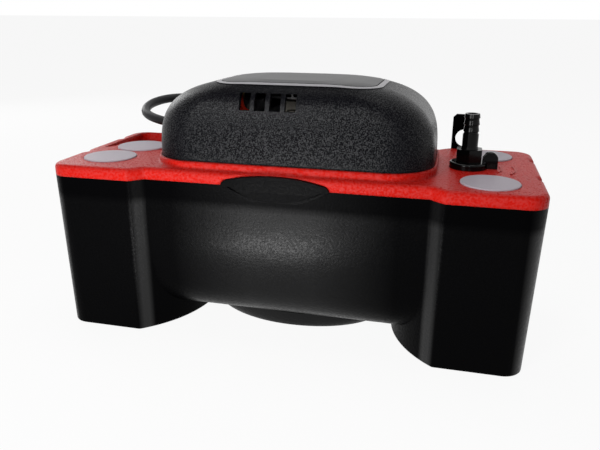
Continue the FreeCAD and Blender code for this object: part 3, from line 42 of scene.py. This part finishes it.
# Coil of the cord on the floor
COIL_PLACE = (0.022, 0.111)
COIL_MID = 0.037              # radius of the middle one of the three turns
COIL_STEP = 0.0069            # from turn to turn, and from layer to layer
COIL_INNER_GAP = 0.005        # how far inside the inner turn the cord rises to the upper layer
COIL_LEAD = 0.027             # straight run into the coil, and out of it to the plug
COIL_STEPS = 24               # points per turn

# Label place on top of the motor cover
LABEL_MIDDLE = (0.002, 0.0)
LABEL_HALF = (0.052, 0.036)
LABEL_CORNER = 0.020
LABEL_CORNER_LEAST = 0.002
LABEL_BORDER = 0.0032
LABEL_LIFT = 0.0003
LABEL_DROP_FROM = 0.180       # height from which the label's outline is laid on the cover
LABEL_RINGS = 8
LABEL_RING_SHARE = 0.11
LABEL_GAP_SHARE = 0.02        # between the border and the field
LABEL_INNER_SHARE = 0.05

# Gloss of the tank by distance from its middle along X: the barrel, its bends and the end corners
TANK_GLOSS_REACH = 0.150
TANK_GLOSS = (
    (0.020, 0.170), (0.070, 0.020), (0.0866, 0.020), (0.0890, 0.350), (0.0920, 0.350),
    (0.0950, 0.020), (0.1400, 0.020), (0.1450, 0.300))
TONGUE_LOW = (0.086, 0.091)   # heights between which the barrel ends and the snap tongues start
TONGUE_GLOSS_SHARE = 0.20
DOME_SHOULDER = (0.149, 0.159)  # heights between which the dome's sides turn into its top
DOME_TOP_GLOSS_SHARE = 0.10
LID_EDGE_ROUND = 0.0035

FLOOR_SIZE = 60.0
FLOOR_WHITE = 0.95
FLOOR_GLOW_SHARE = 0.92
WORLD_ON_OBJECT = 0.10
WORLD_SEEN = 1.0

CAMERA_PLACE = (0.0963, -0.3942, 0.1994)
CAMERA_YAW = math.radians(-13.81)
CAMERA_PITCH = math.radians(18.74)
CAMERA_ROLL = math.radians(0.33)
CAMERA_LENS = 37.49
CAMERA_SENSOR = 36.0

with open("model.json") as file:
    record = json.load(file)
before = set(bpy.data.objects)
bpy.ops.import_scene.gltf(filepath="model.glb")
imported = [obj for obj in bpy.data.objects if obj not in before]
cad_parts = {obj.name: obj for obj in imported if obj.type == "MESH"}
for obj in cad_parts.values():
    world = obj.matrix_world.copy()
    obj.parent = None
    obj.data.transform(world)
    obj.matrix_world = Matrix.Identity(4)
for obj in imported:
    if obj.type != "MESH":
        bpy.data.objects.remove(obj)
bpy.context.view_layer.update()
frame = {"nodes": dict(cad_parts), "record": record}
nodes = frame["nodes"]


# Materials

def new_material(name, color, roughness, specular=0.5, metallic=0.0):
    material = bpy.data.materials.new(name)
    material.use_nodes = True
    shader = material.node_tree.nodes["Principled BSDF"]
    shader.inputs["Base Color"].default_value = (*color, 1.0)
    shader.inputs["Roughness"].default_value = roughness
    shader.inputs["Specular IOR Level"].default_value = specular
    shader.inputs["Metallic"].default_value = metallic
    return material


def object_coordinates(tree):
    return tree.nodes.new("ShaderNodeTexCoord").outputs["Object"]


def noise(tree, scale, detail=2.0):
    node = tree.nodes.new("ShaderNodeTexNoise")
    node.inputs["Scale"].default_value = scale
    node.inputs["Detail"].default_value = detail
    node.inputs["Roughness"].default_value = 0.5
    tree.links.new(object_coordinates(tree), node.inputs["Vector"])
    return node.outputs["Fac"]


def remap(tree, value, low, high, to_low, to_high):
    node = tree.nodes.new("ShaderNodeMapRange")
    node.inputs["From Min"].default_value = low
    node.inputs["From Max"].default_value = high
    node.inputs["To Min"].default_value = to_low
    node.inputs["To Max"].default_value = to_high
    tree.links.new(value, node.inputs["Value"])
    return node.outputs["Result"]


def drive(material, socket_name, value):
    """Links a value to one input of the material's shader."""
    tree = material.node_tree
    tree.links.new(value, tree.nodes["Principled BSDF"].inputs[socket_name])


def combine(tree, operation, first, second):
    """One value from two sockets, by a math operation."""
    node = tree.nodes.new("ShaderNodeMath")
    node.operation = operation
    tree.links.new(first, node.inputs[0])
    tree.links.new(second, node.inputs[1])
    return node.outputs[0]


def add_bump(material, height, distance, edge_radius=0.0):
    """Bump from a height socket; edges look rounded by edge_radius."""
    tree = material.node_tree
    bump = tree.nodes.new("ShaderNodeBump")
    bump.inputs["Distance"].default_value = distance
    if edge_radius:
        soft_edge = tree.nodes.new("ShaderNodeBevel")
        soft_edge.samples = 6
        soft_edge.inputs["Radius"].default_value = edge_radius
        tree.links.new(soft_edge.outputs["Normal"], bump.inputs["Normal"])
    tree.links.new(height, bump.inputs["Height"])
    drive(material, "Normal", bump.outputs["Normal"])


def vary(material, socket_name, source, low, high, to_low, to_high):
    drive(material, socket_name, remap(material.node_tree, source, low, high, to_low, to_high))


def place_along(tree, axis):
    """Distance in metres from the middle of the part along X, Y or Z."""
    split = tree.nodes.new("ShaderNodeSeparateXYZ")
    size = tree.nodes.new("ShaderNodeMath")
    size.operation = "ABSOLUTE"
    tree.links.new(object_coordinates(tree), split.inputs["Vector"])
    tree.links.new(split.outputs[axis], size.inputs[0])
    return size.outputs[0]


def ramp(tree, source, reach, stops):
    """Value that follows (distance, value) stops, for a source that runs from 0 to reach."""
    node = tree.nodes.new("ShaderNodeValToRGB")
    elements = node.color_ramp.elements
    elements.remove(elements[1])
    for index, (distance, value) in enumerate(stops):
        element = elements[0] if index == 0 else elements.new(distance / reach)
        element.position = distance / reach
        element.color = (value, value, value, 1.0)
    tree.links.new(remap(tree, source, 0.0, reach, 0.0, 1.0), node.inputs["Fac"])
    return node.outputs["Color"]


def tank_black():
    """The barrel's middle and the corners of the end blocks are polished, the flat faces are dull."""
    material = new_material("tank_plastic", (0.0012, 0.0012, 0.0014), 0.42, specular=0.12)
    tree = material.node_tree
    grain = noise(tree, 750.0)
    soft = noise(tree, 90.0, detail=3.0)
    add_bump(material, combine(tree, "ADD", grain, soft), 0.00016)
    vary(material, "Roughness", grain, 0.35, 0.65, 0.28, 0.46)
    along = ramp(tree, place_along(tree, "X"), TANK_GLOSS_REACH, TANK_GLOSS)
    below_tongue = remap(tree, place_along(tree, "Z"), *TONGUE_LOW, 1.0, TONGUE_GLOSS_SHARE)
    drive(material, "Specular IOR Level", combine(tree, "MULTIPLY", along, below_tongue))
    return material


def cover_black():
    """Fine moulded grain that glints on the sides and is dull on top."""
    material = new_material("cover_plastic", (0.0014, 0.0015, 0.0026), 0.40, specular=0.09)
    tree = material.node_tree
    grain = noise(tree, 1500.0)
    add_bump(material, grain, 0.00020)
    vary(material, "Roughness", grain, 0.38, 0.62, 0.17, 0.38)
    sides = remap(tree, place_along(tree, "Z"), *DOME_SHOULDER, 1.0, DOME_TOP_GLOSS_SHARE)
    spots = remap(tree, grain, 0.46, 0.66, 0.05, 0.26)
    drive(material, "Specular IOR Level", combine(tree, "MULTIPLY", sides, spots))
    return material


def lid_red():
    material = new_material("lid_plastic", (0.47, 0.009, 0.005), 0.40, specular=0.14)
    grain = noise(material.node_tree, 700.0)
    add_bump(material, grain, 0.00030, edge_radius=LID_EDGE_ROUND)
    vary(material, "Roughness", grain, 0.38, 0.62, 0.24, 0.55)
    vary(material, "Specular IOR Level", grain, 0.38, 0.62, 0.01, 0.26)
    return material


def cap_white():
    material = new_material("cap_plastic", (0.46, 0.41, 0.46), 0.46, specular=0.20)
    add_bump(material, noise(material.node_tree, 500.0), 0.00004)
    return material


def valve_black():
    material = new_material("valve_plastic", (0.0012, 0.0012, 0.0013), 0.13, specular=0.12)
    add_bump(material, noise(material.node_tree, 300.0), 0.00005)
    return material


def rubber(name, color, roughness=0.5):
    material = new_material(name, color, roughness, specular=0.15)
    add_bump(material, noise(material.node_tree, 700.0), 0.00005)
    return material


def plain_plastic(name, color, roughness=0.45):
    material = new_material(name, color, roughness, specular=0.45)
    add_bump(material, noise(material.node_tree, 800.0), 0.00005)
    return material


def metal(name, color, roughness=0.32):
    material = new_material(name, color, roughness, metallic=1.0)
    add_bump(material, noise(material.node_tree, 900.0), 0.00004)
    return material


finishes = {
    "tank_plastic": tank_black(),
    "lid_plastic": lid_red(),
    "cover_plastic": cover_black(),
    "cap_plastic": cap_white(),
    "lamination_steel": metal("lamination_steel", (0.32, 0.32, 0.34), 0.42),
    "bobbin_plastic": plain_plastic("bobbin_plastic", (0.70, 0.66, 0.52)),
    "winding_tape": plain_plastic("winding_tape", (0.62, 0.42, 0.05), 0.35),
    # zinc steel kept far darker than bare zinc: painted shade for the bracket seen through the vents
    # inside the cover
    "zinc_steel": metal("zinc_steel", (0.16, 0.15, 0.13), 0.45),
    "bearing_bronze": metal("bearing_bronze", (0.48, 0.28, 0.12), 0.45),
    "cage_aluminium": metal("cage_aluminium", (0.72, 0.72, 0.73), 0.40),
    "shaft_steel": metal("shaft_steel", (0.66, 0.66, 0.68), 0.22),
    "fan_plastic": plain_plastic("fan_plastic", (0.012, 0.012, 0.013)),
    "seal_rubber": rubber("seal_rubber", (0.010, 0.010, 0.010)),
    "pump_plastic": plain_plastic("pump_plastic", (0.010, 0.010, 0.011)),
    "impeller_plastic": plain_plastic("impeller_plastic", (0.55, 0.53, 0.46)),
    "tube_vinyl": plain_plastic("tube_vinyl", (0.60, 0.62, 0.56), 0.20),
    "valve_plastic": valve_black(),
    "poppet_rubber": rubber("poppet_rubber", (0.20, 0.03, 0.02)),
    "float_foam": plain_plastic("float_foam", (0.78, 0.78, 0.74), 0.75),
    "stem_plastic": plain_plastic("stem_plastic", (0.74, 0.72, 0.64)),
    "switch_plastic": plain_plastic("switch_plastic", (0.010, 0.010, 0.012), 0.35),
    "terminal_brass": metal("terminal_brass", (0.62, 0.44, 0.16), 0.30),
    "button_plastic": plain_plastic("button_plastic", (0.45, 0.03, 0.02), 0.35),
    "relief_rubber": rubber("relief_rubber", (0.010, 0.010, 0.011)),
    "cord_vinyl": rubber("cord_vinyl", (0.009, 0.009, 0.010), 0.42),
    "wire_vinyl": plain_plastic("wire_vinyl", (0.55, 0.03, 0.012), 0.35),
    "plug_vinyl": rubber("plug_vinyl", (0.010, 0.010, 0.011), 0.48),
}

slot_of = {row["node"]: row["material_slot"] for row in frame["record"]["subparts"]}
for name, piece in nodes.items():
    piece.data.materials.clear()
    piece.data.materials.append(finishes[slot_of[name]])


# Power cord: the CAD route, then the coil's turns

coil_x, coil_y = COIL_PLACE
outer_turn = COIL_MID + COIL_STEP
inner_turn = COIL_MID - COIL_STEP
floor_z = CORD_DIAMETER / 2
end_z = floor_z + COIL_STEP


def coil_points():
    """Three turns inwards on the floor, up in the middle, three turns outwards on top."""
    rise_radius = inner_turn - COIL_INNER_GAP
    turns = [
        (outer_turn, floor_z, COIL_MID, floor_z),
        (COIL_MID, floor_z, inner_turn, floor_z),
        (inner_turn, floor_z, rise_radius, floor_z),
        (rise_radius, floor_z, inner_turn, end_z),
        (inner_turn, end_z, COIL_MID, end_z),
        (COIL_MID, end_z, outer_turn, end_z),
        (outer_turn, end_z, outer_turn, end_z),
    ]
    points = []
    angle = -90.0
    for r0, z0, r1, z1 in turns:
        rises = z1 > z0
        count = COIL_STEPS // 2 if rises else COIL_STEPS
        for k in range(count):
            t = k / count
            ease = t if rises else max(0.0, (t - 0.6) / 0.4)
            ease = ease * ease * (3 - 2 * ease)
            r = r0 + (r1 - r0) * ease
            z = z0 + (z1 - z0) * ease
            a = math.radians(angle)
            points.append((coil_x + r * math.cos(a), coil_y + r * math.sin(a), z))
            angle += 360.0 / COIL_STEPS
    return points


relief_way = Vector(RELIEF_WAY).normalized()
relief_tip = Vector(RELIEF_ROOT) + relief_way * RELIEF_LENGTH
ahead = relief_tip + relief_way * RELIEF_AHEAD
route = [
    tuple(relief_tip),
    tuple(ahead),
    (-0.1463, 0.0698, 0.1282),
    (-0.1388, 0.0935, 0.1316),
    (-0.1167, 0.1050, 0.1316),
    (-0.0920, 0.1000, 0.1280),
    (-0.0840, 0.0920, 0.0980),
    (-0.0840, 0.0850, 0.0640),
    (-0.0760, 0.0770, 0.0260),
    (-0.0520, 0.0710, 0.0065),
    (-0.0240, coil_y - outer_turn, floor_z),
    (coil_x - COIL_LEAD, coil_y - outer_turn, floor_z),
]
route += coil_points()
route += [
    (coil_x, coil_y + outer_turn, end_z),
    (coil_x - COIL_LEAD * 0.5, coil_y + outer_turn, end_z),
    (coil_x - COIL_LEAD, coil_y + outer_turn, end_z),
]

curve = bpy.data.curves.new("power_cord_line", "CURVE")
curve.dimensions = "3D"
curve.bevel_depth = CORD_DIAMETER / 2
curve.bevel_resolution = 4
spline = curve.splines.new("NURBS")
spline.points.add(len(route) - 1)
for point, place in zip(spline.points, route):
    point.co = (*place, 1.0)
spline.order_u = 3
spline.use_endpoint_u = True
spline.resolution_u = 6
cord = bpy.data.objects.new("cord_line", curve)
bpy.context.scene.collection.objects.link(cord)
cord.data.materials.append(finishes["cord_vinyl"])
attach(cord, "pump")
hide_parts("power_cord", "cord_coil")


# Valve spring (it shortens as the poppet lifts): a copy of its CAD mesh with a mesh of its own, on the
# valve's body

spring = bpy.data.objects.new("valve_spring_coil", nodes["valve_spring"].data.copy())
spring.matrix_world = nodes["valve_spring"].matrix_world
bpy.context.scene.collection.objects.link(spring)
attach(spring, "outlet_valve")
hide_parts("valve_spring")
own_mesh(spring)


# Label place on top of the motor cover, left bare

def rounded_outline(half_x, half_y, radius, steps=8, side_steps=12):
    """Four rounded corners with the straight runs between them cut into short steps."""
    corners = []
    for quarter, (sx, sy) in enumerate(((1, 1), (-1, 1), (-1, -1), (1, -1))):
        arc = []
        for k in range(steps + 1):
            a = math.radians(90.0 * (quarter + k / steps))
            arc.append(Vector((sx * (half_x - radius) + radius * math.cos(a),
                               sy * (half_y - radius) + radius * math.sin(a))))
        corners.append(arc)
    points = []
    for index, arc in enumerate(corners):
        points += arc
        start = arc[-1]
        end = corners[(index + 1) % 4][0]
        points += [start.lerp(end, k / side_steps) for k in range(1, side_steps)]
    return points


def label_piece(name, shares, material, filled=False):
    """Band between shrunken outlines, laid on the cover from above; filled closes its middle."""
    vertices = []
    faces = []
    count = 0
    for share in shares:
        inset = LABEL_HALF[1] * (1.0 - share)
        radius = max(LABEL_CORNER - inset, LABEL_CORNER_LEAST)
        outline = rounded_outline(LABEL_HALF[0] - inset, LABEL_HALF[1] - inset, radius)
        count = len(outline)
        vertices += [(LABEL_MIDDLE[0] + x, LABEL_MIDDLE[1] + y, LABEL_DROP_FROM) for x, y in outline]
    for ring in range(len(shares) - 1):
        for k in range(count):
            a = ring * count + k
            b = ring * count + (k + 1) % count
            faces.append((a + count, b + count, b, a))
    if filled:
        faces.append(tuple(range((len(shares) - 1) * count, len(shares) * count))[::-1])
    mesh = bpy.data.meshes.new(name)
    mesh.from_pydata(vertices, [], faces)
    piece = bpy.data.objects.new(name, mesh)
    bpy.context.scene.collection.objects.link(piece)
    piece.data.materials.append(material)
    lay = piece.modifiers.new("lay", "SHRINKWRAP")
    lay.target = nodes["motor_cover"]
    lay.wrap_method = "PROJECT"
    lay.use_project_z = True
    lay.use_negative_direction = True
    lay.use_positive_direction = False
    lay.offset = LABEL_LIFT
    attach(piece, "pump")
    return piece


border_share = 1.0 - LABEL_BORDER / LABEL_HALF[1]
label_piece("label_border", (1.0, (1.0 + border_share) / 2, border_share),
            plain_plastic("label_border", (0.34, 0.33, 0.35), 0.40))
field_shares = [border_share - LABEL_GAP_SHARE - LABEL_RING_SHARE * k for k in range(LABEL_RINGS)]
label_piece("label_field", field_shares + [LABEL_INNER_SHARE],
            rubber("label_field", (0.004, 0.004, 0.005), 0.36), filled=True)


# Floor, light and camera

def seen_by_eye(tree):
    """1 for the rays that see the background, straight or in a gloss or through glass, and 0 for light."""
    path = tree.nodes.new("ShaderNodeLightPath")
    seen = combine(tree, "MAXIMUM", path.outputs["Is Camera Ray"], path.outputs["Is Glossy Ray"])
    return combine(tree, "MAXIMUM", seen, path.outputs["Is Transmission Ray"])


def floor_material():
    material = bpy.data.materials.new("floor")
    material.use_nodes = True
    tree = material.node_tree
    tree.nodes.clear()
    out = tree.nodes.new("ShaderNodeOutputMaterial")
    matte = tree.nodes.new("ShaderNodeBsdfDiffuse")
    matte.inputs["Color"].default_value = (FLOOR_WHITE, FLOOR_WHITE, FLOOR_WHITE, 1.0)
    glow = tree.nodes.new("ShaderNodeEmission")
    glow.inputs["Color"].default_value = (1.0, 1.0, 1.0, 1.0)
    glow.inputs["Strength"].default_value = 1.0
    mix = tree.nodes.new("ShaderNodeMixShader")
    share = remap(tree, seen_by_eye(tree), 0.0, 1.0, 0.0, FLOOR_GLOW_SHARE)
    tree.links.new(share, mix.inputs["Fac"])
    tree.links.new(matte.outputs[0], mix.inputs[1])
    tree.links.new(glow.outputs[0], mix.inputs[2])
    tree.links.new(mix.outputs[0], out.inputs["Surface"])
    return material


bpy.ops.mesh.primitive_plane_add(size=FLOOR_SIZE, location=(0.0, 0.0, 0.0))
floor = bpy.context.object
floor.name = "floor"
floor.data.materials.append(floor_material())

world = bpy.data.worlds.new("studio")
bpy.context.scene.world = world
world.use_nodes = True
tree = world.node_tree
tree.nodes.clear()
out = tree.nodes.new("ShaderNodeOutputWorld")
back = tree.nodes.new("ShaderNodeBackground")
back.inputs["Color"].default_value = (1.0, 1.0, 1.0, 1.0)
tree.links.new(back.outputs[0], out.inputs["Surface"])
strength = remap(tree, seen_by_eye(tree), 0.0, 1.0, WORLD_ON_OBJECT, WORLD_SEEN)
tree.links.new(strength, back.inputs["Strength"])


def area_light(name, place, target, size, power):
    data = bpy.data.lights.new(name, "AREA")
    data.shape = "RECTANGLE"
    data.size = size[0]
    data.size_y = size[1]
    data.energy = power
    lamp = bpy.data.objects.new(name, data)
    lamp.location = place
    lamp.rotation_mode = "QUATERNION"
    lamp.rotation_quaternion = (Vector(target) - Vector(place)).to_track_quat("-Z", "Y")
    bpy.context.scene.collection.objects.link(lamp)
    return lamp


area_light("front", (-0.240, -0.700, 0.300), (0.0, -0.04, 0.11), (0.22, 0.34), 2.7)
area_light("strip", (0.200, -0.700, 0.300), (0.06, -0.04, 0.12), (0.05, 0.25), 0.9)
area_light("front_sheet", (-0.056, -0.262, 0.004), (-0.056, -0.262, 0.100), (0.10, 0.17), 0.9)
area_light("overhead", (0.0, 0.2, 1.2), (0.0, 0.0, 0.1), (0.9, 0.6), 4.2)
area_light("rear_left", (-0.9, 0.7, 0.5), (0.0, 0.0, 0.1), (0.5, 0.5), 2.5)

forward = Vector((math.sin(CAMERA_YAW) * math.cos(CAMERA_PITCH),
                  math.cos(CAMERA_YAW) * math.cos(CAMERA_PITCH), -math.sin(CAMERA_PITCH)))
level_right = Vector((math.cos(CAMERA_YAW), -math.sin(CAMERA_YAW), 0.0))
level_up = level_right.cross(forward)
right = level_right * math.cos(CAMERA_ROLL) + level_up * math.sin(CAMERA_ROLL)
up = level_up * math.cos(CAMERA_ROLL) - level_right * math.sin(CAMERA_ROLL)
lens = bpy.data.cameras.new("camera")
lens.sensor_width = CAMERA_SENSOR
lens.lens = CAMERA_LENS
lens.clip_start = 0.01
lens.clip_end = 100.0
camera = bpy.data.objects.new("camera", lens)
camera.matrix_world = Matrix((
    (right.x, up.x, -forward.x, CAMERA_PLACE[0]),
    (right.y, up.y, -forward.y, CAMERA_PLACE[1]),
    (right.z, up.z, -forward.z, CAMERA_PLACE[2]),
    (0.0, 0.0, 0.0, 1.0),
))
bpy.context.scene.collection.objects.link(camera)
bpy.context.scene.camera = camera
bpy.context.scene.view_settings.view_transform = "Standard"
